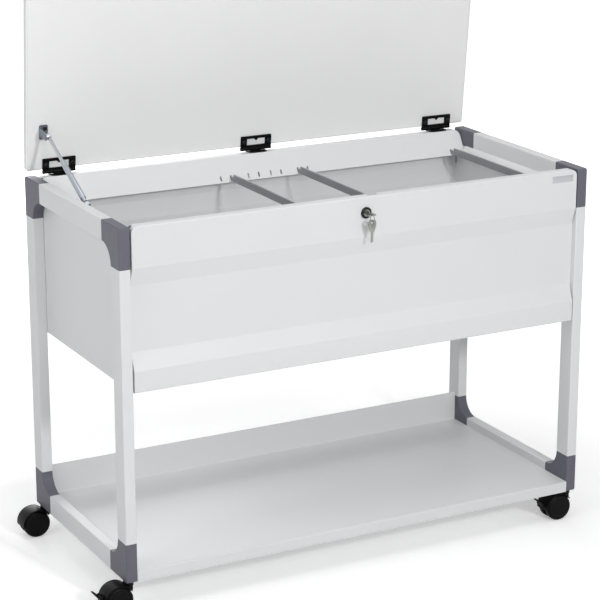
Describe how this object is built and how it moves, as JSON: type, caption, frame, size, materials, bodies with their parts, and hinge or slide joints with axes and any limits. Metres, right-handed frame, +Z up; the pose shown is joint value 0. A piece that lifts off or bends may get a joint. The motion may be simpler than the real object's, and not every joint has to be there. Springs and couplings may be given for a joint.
{
  "type": "suspension file trolley",
  "caption": "Wheeled office trolley: folded steel hopper with rails for hanging files, hinged lid on a gas strut with a key lock, open lower shelf and swivelling twin-wheel castors.",
  "frame": {"origin": "on the floor, midway between the four frame posts", "axes": "+Z up, -Y towards the front with the lock, +X to the right of someone facing the front; the lid is open at rest"},
  "size_m": [0.9618, 0.4551, 1.0872],
  "materials": {
    "powder_coated_steel": "satin light grey powder coat",
    "corner_plastic": "fine-grained mid-grey moulding",
    "rail_steel": "satin dark grey paint",
    "lid_laminate": "fine matt light grey laminate",
    "black_plastic": "fine-grained black moulding",
    "wheel_plastic": "smooth black tread",
    "zinc_steel": "bright zinc plating",
    "rod_chrome": "ground and chromed",
    "lock_nickel": "bright nickel plating",
    "buffer_rubber": "matt"
  },
  "bodies": {
    "frame": {"left_front_post": "powder_coated_steel", "left_front_top_corner": "corner_plastic", "left_front_bottom_corner": "corner_plastic", "left_rear_post": "powder_coated_steel", "left_rear_top_corner": "corner_plastic", "left_rear_bottom_corner": "corner_plastic", "left_top_rail": "powder_coated_steel", "left_bottom_rail": "powder_coated_steel", "left_side_panel": "powder_coated_steel", "left_file_rail": "rail_steel", "right_front_post": "powder_coated_steel", "right_front_top_corner": "corner_plastic", "right_front_bottom_corner": "corner_plastic", "right_rear_post": "powder_coated_steel", "right_rear_top_corner": "corner_plastic", "right_rear_bottom_corner": "corner_plastic", "right_top_rail": "powder_coated_steel", "right_bottom_rail": "powder_coated_steel", "right_side_panel": "powder_coated_steel", "right_file_rail": "rail_steel", "front_panel": "powder_coated_steel", "rear_panel": "powder_coated_steel", "hopper_floor": "powder_coated_steel", "lower_shelf": "powder_coated_steel", "panel_screws": "zinc_steel", "hinge_clips": "black_plastic", "hinge_pins": "zinc_steel", "strut_frame_bracket": "zinc_steel", "lock_housing": "lock_nickel", "lock_nut": "lock_nickel", "castor_stems": "zinc_steel"},
    "lid": {"lid_board": "lid_laminate", "lid_buffers": "buffer_rubber", "lid_keeper": "zinc_steel", "lid_screws": "zinc_steel", "hinge_leaves": "black_plastic", "strut_lid_bracket": "zinc_steel"},
    "strut_cylinder": {"strut_cylinder": "zinc_steel"},
    "strut_rod": {"strut_rod": "rod_chrome"},
    "lock_rotor": {"lock_plug": "lock_nickel", "lock_cam": "lock_nickel"},
    "key": {"lock_key": "lock_nickel"},
    "key_bunch": {"key_ring": "lock_nickel", "spare_key": "lock_nickel"},
    "left_crossbar": {"left_crossbar": "rail_steel"},
    "right_crossbar": {"right_crossbar": "rail_steel"},
    "front_left_castor": {"front_left_castor_hood": "black_plastic", "front_left_castor_axle": "zinc_steel"},
    "front_left_castor_wheels": {"front_left_castor_wheels": "wheel_plastic"},
    "front_left_castor_brake": {"front_left_castor_brake_lever": "black_plastic"},
    "front_right_castor": {"front_right_castor_hood": "black_plastic", "front_right_castor_axle": "zinc_steel"},
    "front_right_castor_wheels": {"front_right_castor_wheels": "wheel_plastic"},
    "front_right_castor_brake": {"front_right_castor_brake_lever": "black_plastic"},
    "rear_left_castor": {"rear_left_castor_hood": "black_plastic", "rear_left_castor_axle": "zinc_steel"},
    "rear_left_castor_wheels": {"rear_left_castor_wheels": "wheel_plastic"},
    "rear_right_castor": {"rear_right_castor_hood": "black_plastic", "rear_right_castor_axle": "zinc_steel"},
    "rear_right_castor_wheels": {"rear_right_castor_wheels": "wheel_plastic"}
  },
  "joints": [
    {"name": "lid_hinge", "type": "hinge", "parent": "frame", "child": "lid", "pos_m": [0, 0.2055, 0.672], "axis": [1, 0, 0], "range_deg": [0, 84.5]},
    {"name": "strut_swing", "type": "hinge", "parent": "frame", "child": "strut_cylinder", "pos_m": [-0.42, 0.0045, 0.659], "axis": [1, 0, 0], "range_deg": [-34, 0.5]},
    {"name": "strut_slide", "type": "slide", "parent": "strut_cylinder", "child": "strut_rod", "axis": [0, 0.8924, 0.4513], "range_m": [-0.059, 0.0005]},
    {"name": "lock_turn", "type": "hinge", "parent": "frame", "child": "lock_rotor", "pos_m": [0, -0.2, 0.6415], "axis": [0, -1, 0], "range_deg": [0, 90]},
    {"name": "key_pull", "type": "slide", "parent": "lock_rotor", "child": "key", "axis": [0, -1, 0], "range_m": [0, 0.02]},
    {"name": "key_swing", "type": "hinge", "parent": "key", "child": "key_bunch", "pos_m": [0, -0.2291, 0.6427], "axis": [0, 1, 0], "range_deg": [-15, 15]},
    {"name": "left_crossbar_unhook", "type": "slide", "parent": "frame", "child": "left_crossbar", "axis": [0, 1, 0], "range_m": [0, 0.007]},
    {"name": "right_crossbar_unhook", "type": "slide", "parent": "frame", "child": "right_crossbar", "axis": [0, 1, 0], "range_m": [0, 0.007]},
    {"name": "front_left_castor_swivel", "type": "hinge", "parent": "frame", "child": "front_left_castor", "pos_m": [-0.4435, -0.1895, 0.05], "axis": [0, 0, 1], "continuous": true},
    {"name": "front_left_castor_roll", "type": "hinge", "parent": "front_left_castor", "child": "front_left_castor_wheels", "pos_m": [-0.4655, -0.1895, 0.025], "axis": [0, 1, 0], "continuous": true},
    {"name": "front_left_castor_brake_press", "type": "hinge", "parent": "front_left_castor", "child": "front_left_castor_brake", "pos_m": [-0.49525, -0.1895, 0.03297], "axis": [0, -1, 0], "range_deg": [0, 25]},
    {"name": "front_right_castor_swivel", "type": "hinge", "parent": "frame", "child": "front_right_castor", "pos_m": [0.4435, -0.1895, 0.05], "axis": [0, 0, 1], "continuous": true},
    {"name": "front_right_castor_roll", "type": "hinge", "parent": "front_right_castor", "child": "front_right_castor_wheels", "pos_m": [0.4215, -0.1895, 0.025], "axis": [0, 1, 0], "continuous": true},
    {"name": "front_right_castor_brake_press", "type": "hinge", "parent": "front_right_castor", "child": "front_right_castor_brake", "pos_m": [0.39175, -0.1895, 0.03297], "axis": [0, -1, 0], "range_deg": [0, 25]},
    {"name": "rear_left_castor_swivel", "type": "hinge", "parent": "frame", "child": "rear_left_castor", "pos_m": [-0.4435, 0.1895, 0.05], "axis": [0, 0, 1], "continuous": true},
    {"name": "rear_left_castor_roll", "type": "hinge", "parent": "rear_left_castor", "child": "rear_left_castor_wheels", "pos_m": [-0.4655, 0.1895, 0.025], "axis": [0, 1, 0], "continuous": true},
    {"name": "rear_right_castor_swivel", "type": "hinge", "parent": "frame", "child": "rear_right_castor", "pos_m": [0.4435, 0.1895, 0.05], "axis": [0, 0, 1], "continuous": true},
    {"name": "rear_right_castor_roll", "type": "hinge", "parent": "rear_right_castor", "child": "rear_right_castor_wheels", "pos_m": [0.4215, 0.1895, 0.025], "axis": [0, 1, 0], "continuous": true}
  ],
  "couplings": [
    {"joint": "strut_swing", "follows": "lid_hinge", "ratio": -0.39722},
    {"joint": "strut_slide", "follows": "lid_hinge", "m_per_rad": -0.03945}
  ]
}
